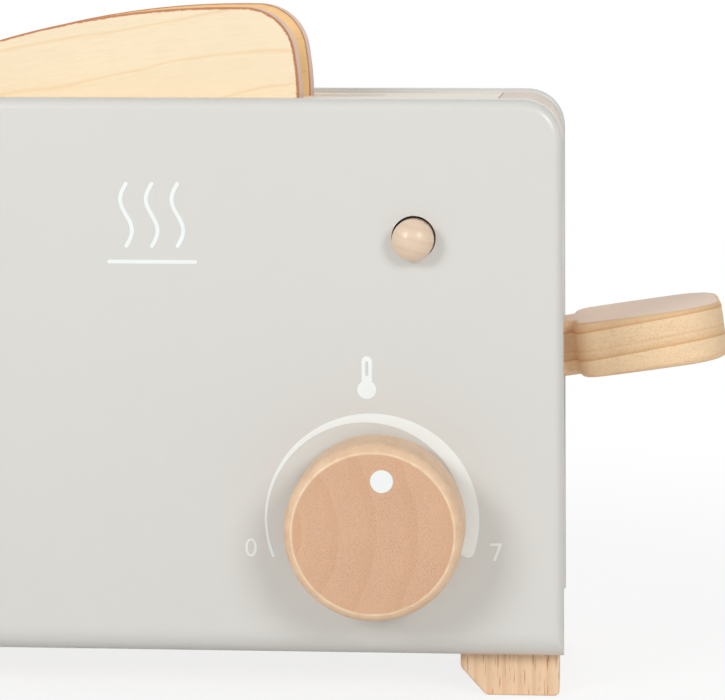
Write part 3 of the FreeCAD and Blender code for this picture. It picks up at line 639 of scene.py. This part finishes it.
def stroke(points, width):
    """The outline of an open line with round ends."""
    half = width / 2
    left, right = [], []
    for index, (x, z) in enumerate(points):
        before = points[max(index - 1, 0)]
        after = points[min(index + 1, len(points) - 1)]
        direction = Vector((after[0] - before[0], after[1] - before[1])).normalized()
        left.append((x - direction.y * half, z + direction.x * half))
        right.append((x + direction.y * half, z - direction.x * half))
    first_turn, last_turn = heading(points[0], points[1]), heading(points[-2], points[-1])
    end_cap = arc_points(points[-1], half, last_turn + 90, last_turn - 90, CAP_POINTS)[1:-1]
    start_cap = arc_points(points[0], half, first_turn - 90, first_turn - 270, CAP_POINTS)[1:-1]
    return left + end_cap + right[::-1] + start_cap


def moved(points, x, z):
    """Millimetre points about a place in metres."""
    return [(x + point[0] * MM, z + point[1] * MM) for point in points]


def printed(name, outlines, face_y, body, ink):
    """A thin printed mark on a face across Y. Outlines are in metres; inner ones are holes."""
    curve = bpy.data.curves.new(name, "CURVE")
    curve.dimensions = "2D"
    curve.fill_mode = "BOTH"
    curve.extrude = (INK_THICKNESS + INK_OVERLAP) / 2
    for outline in outlines:
        spline = curve.splines.new("POLY")
        spline.points.add(len(outline) - 1)
        for point, (x, z) in zip(spline.points, outline):
            point.co = (x, z, 0, 1)
        spline.use_cyclic_u = True
    drawn = bpy.data.objects.new(name + "_curve", curve)
    bpy.context.scene.collection.objects.link(drawn)
    bpy.context.view_layer.update()
    depsgraph = bpy.context.evaluated_depsgraph_get()
    mesh = bpy.data.meshes.new_from_object(drawn.evaluated_get(depsgraph))
    bpy.data.objects.remove(drawn)
    middle_y = face_y - (INK_THICKNESS - INK_OVERLAP) / 2
    mesh.transform(Matrix.Translation((0, middle_y, 0)) @ Matrix.Rotation(pi / 2, 4, "X"))
    return add_piece(name, mesh, ink, body)


def dial_scale(ink):
    """The arc round the knob, thin at its left end, thick and rounded at its right."""
    centre_x = 50.9                                # right of the case's middle
    outer_radius, inner_radius = 23.46, 21.5
    inner_offset = -1.4                            # the inner circle's centre lies to the left
    start, end, count = 201.5, -21.2, 160
    corner = 1.3                                   # the rounding of the right end
    outer, inner = [], []
    for index in range(count + 1):
        share = index / count
        angle = radians(start + (end - start) * (1 - (1 - share) ** 2))
        left = (angle - radians(end)) * outer_radius
        bite = corner - sqrt(corner ** 2 - max(corner - left, 0) ** 2)
        lean = inner_offset * cos(angle)
        inside = lean + sqrt(inner_radius ** 2 - inner_offset ** 2 + lean ** 2)
        outer.append(((outer_radius - bite) * cos(angle), (outer_radius - bite) * sin(angle)))
        inner.append(((inside + bite) * cos(angle), (inside + bite) * sin(angle)))
    outline = moved(outer + inner[::-1], case_middle_x + centre_x * MM, knob_z)
    return printed("dial_scale", [outline], panel_face_y, "case", ink)


def scale_zero(ink):
    """The figure at the low end."""
    x = case_middle_x + 24.4 * MM
    z = cad_low.z + 34.4 * MM
    half_width, half_height, line_width = 1.25, 2.05, 0.52
    ring = arc_points((0, 0), 1.0, 0, 360, 41)[:-1]
    outer = [(px * half_width, pz * half_height) for px, pz in ring]
    inner = [(px * (half_width - line_width), pz * (half_height - line_width)) for px, pz in ring]
    outlines = [moved(outer, x, z), moved(inner, x, z)]
    return printed("scale_zero", outlines, panel_face_y, "case", ink)


def scale_seven(ink):
    """The figure at the high end: a bar and a slanted leg."""
    x = case_middle_x + 78.0 * MM
    z = cad_low.z + 34.0 * MM
    bar_left, bar_right, bar_top, bar_low = -1.25, 1.28, 1.95, 1.38
    shoulder_z = 1.58                              # the leg leaves the bar's right end here
    leg_left, leg_right, leg_inner, leg_foot = -0.64, -0.02, 0.56, -1.95
    outline = [(bar_left, bar_top), (bar_right, bar_top), (bar_right, shoulder_z),
               (leg_right, leg_foot), (leg_left, leg_foot), (leg_inner, bar_low),
               (bar_left, bar_low)]
    return printed("scale_seven", [moved(outline, x, z)], panel_face_y, "case", ink)


def thermometer(ink):
    """A small thermometer above the scale."""
    x = case_middle_x + 49.85 * MM
    bulb_z, bulb_radius, stem_half, stem_top = 69.5, 2.05, 1.13, 75.7
    slot_half, slot_low, slot_high = 0.335, 72.8, 75.4
    join = asin(stem_half / bulb_radius) * 180 / pi
    bulb = arc_points((0, bulb_z), bulb_radius, 90 + join, 450 - join, 41)
    cap = arc_points((0, stem_top), stem_half, 0, 180, 17)
    slot = (arc_points((0, slot_high), slot_half, 0, 180, 9)
            + arc_points((0, slot_low), slot_half, 180, 360, 9))
    outlines = [moved(bulb + cap, x, cad_low.z), moved(slot, x, cad_low.z)]
    return printed("thermometer_sign", outlines, panel_face_y, "case", ink)


def heat_sign(ink):
    """Three rising waves over a bar, at the upper left of the panel."""
    x = case_middle_x + 3.15 * MM
    z = cad_low.z + 105.1 * MM
    line_width, gap, height, lift, sway, count = 0.85, 5.6, 13.5, 2.2, 1.25, 41
    bar_half, bar_z = 9.4, -8.0
    shares = [index / (count - 1) for index in range(count)]
    outlines = []
    for column in (-1, 0, 1):
        wave = [(column * gap + sway * sin(2 * pi * share), height * (share - 0.5) + lift)
                for share in shares]
        outlines.append(moved(stroke(wave, line_width), x, z))
    bar = [(-bar_half, bar_z), (bar_half, bar_z)]
    outlines.append(moved(stroke(bar, line_width), x, z))
    return printed("heat_sign", outlines, panel_face_y, "case", ink)


def knob_dot(ink):
    """The pointer dot on the knob's face."""
    centre, radius = (1.94, 11.4), 2.44
    dot = arc_points(centre, radius, 0, 360, 65)[:-1]
    return printed("knob_dot", [moved(dot, knob_x, knob_z)], knob_face_y, "knob", ink)


# --- Stage ------------------------------------------------------------------------------------

FLOOR_HALF = 4.0
FLOOR_GAP = 0.02 * MM         # keeps the soles off the floor's plane
SHADOW_NEAR = 0.11            # from here outwards the shadow fades
SHADOW_FAR = 0.36             # and from here it is gone
WHITE_NEAR = 0.82             # how much of the near floor is plain white
ROOM_LIGHT = 0.36             # the room's strength as a light
LAMP_SIZE = 0.45
LAMP_SIDE, LAMP_FRONT, LAMP_UP = 0.72, 1.04, 0.55


def plain_floor():
    """A wide pale floor under the soles, which keeps the object's shadow."""
    mesh = bpy.data.meshes.new("floor")
    corners = [(-1, -1), (1, -1), (1, 1), (-1, 1)]
    mesh.from_pydata([(x * FLOOR_HALF, y * FLOOR_HALF, cad_low.z - FLOOR_GAP) for x, y in corners],
                     [], [(0, 1, 2, 3)])
    floor = bpy.data.objects.new("floor", mesh)
    bpy.context.scene.collection.objects.link(floor)
    material = bpy.data.materials.new("floor_white")
    tree = Tree(material)
    diffuse = tree.node("ShaderNodeBsdfDiffuse", {"Color": (0.9, 0.9, 0.9, 1)})
    white = tree.node("ShaderNodeEmission", {"Strength": 1.0})
    place = tree.node("ShaderNodeTexCoord").outputs["Object"]
    fade = tree.node("ShaderNodeMapRange",
                     {"Value": tree.vector("LENGTH", place).outputs["Value"],
                      "From Min": SHADOW_NEAR, "From Max": SHADOW_FAR,
                      "To Min": WHITE_NEAR, "To Max": 1.0}, interpolation_type="SMOOTHSTEP")
    seen = tree.node("ShaderNodeLightPath").outputs["Is Camera Ray"]
    mix = tree.node("ShaderNodeMixShader", {0: tree.times(seen, fade.outputs[0]),
                                            1: diffuse.outputs[0], 2: white.outputs[0]})
    tree.node("ShaderNodeOutputMaterial", {"Surface": mix.outputs[0]})
    mesh.materials.append(material)


def white_room():
    """Even light from all round; camera, glossy and transmission rays see plain white."""
    world = bpy.data.worlds.new("white_room")
    bpy.context.scene.world = world
    tree = Tree(world)
    rays = tree.node("ShaderNodeLightPath").outputs
    seen = tree.calc("MAXIMUM", rays["Is Camera Ray"], rays["Is Glossy Ray"])
    seen = tree.calc("MAXIMUM", seen, rays["Is Transmission Ray"])
    strength = tree.node("ShaderNodeMapRange", {"Value": seen, "To Min": ROOM_LIGHT, "To Max": 1.0})
    background = tree.node("ShaderNodeBackground", {"Color": (1, 1, 1, 1),
                                                    "Strength": strength.outputs[0]})
    tree.node("ShaderNodeOutputWorld", {"Surface": background.outputs[0]})


def softbox(name, place, aim, size, power, mirrored=True):
    """A square area light turned towards a point. Glossy faces mirror it or not."""
    light = bpy.data.lights.new(name, "AREA")
    light.shape = "SQUARE"
    light.size = size
    light.energy = power
    lamp = bpy.data.objects.new(name, light)
    lamp.location = place
    lamp.visible_glossy = mirrored
    lamp.rotation_euler = (Vector(aim) - Vector(place)).to_track_quat("-Z", "Y").to_euler()
    bpy.context.scene.collection.objects.link(lamp)


def lights():
    """Two soft lamps, high at the front left and front right, and a broad one behind."""
    middle = (cad_low + cad_high) / 2
    front_left = middle + Vector((-LAMP_SIDE, -LAMP_FRONT, LAMP_UP))
    front_right = middle + Vector((LAMP_SIDE, -LAMP_FRONT, LAMP_UP))
    behind = middle + Vector((0.2, 1.3, 0.5))
    softbox("key_left", front_left, middle, size=LAMP_SIZE, power=6.8)
    softbox("key_right", front_right, middle, size=LAMP_SIZE, power=5.7)
    softbox("back_fill", behind, middle, size=0.8, power=9.0, mirrored=False)


def camera():
    """The view from the front, a little from above and from the right."""
    right, front, up = 95.68 * MM, 564.89 * MM, 153.0 * MM
    yaw, pitch, roll = radians(3.15), radians(-5.63), radians(-0.067)
    focal_pixels, frame_width = 2634.0, 725
    data = bpy.data.cameras.new("camera")
    data.sensor_width = 36.0
    data.lens = focal_pixels / frame_width * data.sensor_width
    data.shift_x, data.shift_y = -0.10, -0.12
    data.clip_start, data.clip_end = 0.01, 50
    seen_from = bpy.data.objects.new("camera", data)
    seen_from.rotation_euler = Euler((pi / 2 + pitch, roll, yaw))
    seen_from.location = Vector((case_middle_x + right, panel_face_y - front, cad_low.z + up))
    bpy.context.scene.collection.objects.link(seen_from)
    bpy.context.scene.camera = seen_from


# --- The scene --------------------------------------------------------------------------------

def main():
    """Dresses the toaster and sets it on its stage."""
    materials = all_materials()
    dress(materials)
    soft_spring(materials["button_spring"])
    ink = white_ink()
    for draw in (dial_scale, scale_zero, scale_seven, thermometer, heat_sign, knob_dot):
        draw(ink)
    plain_floor()
    white_room()
    lights()
    camera()
    bpy.context.scene.view_settings.view_transform = "Standard"


main()
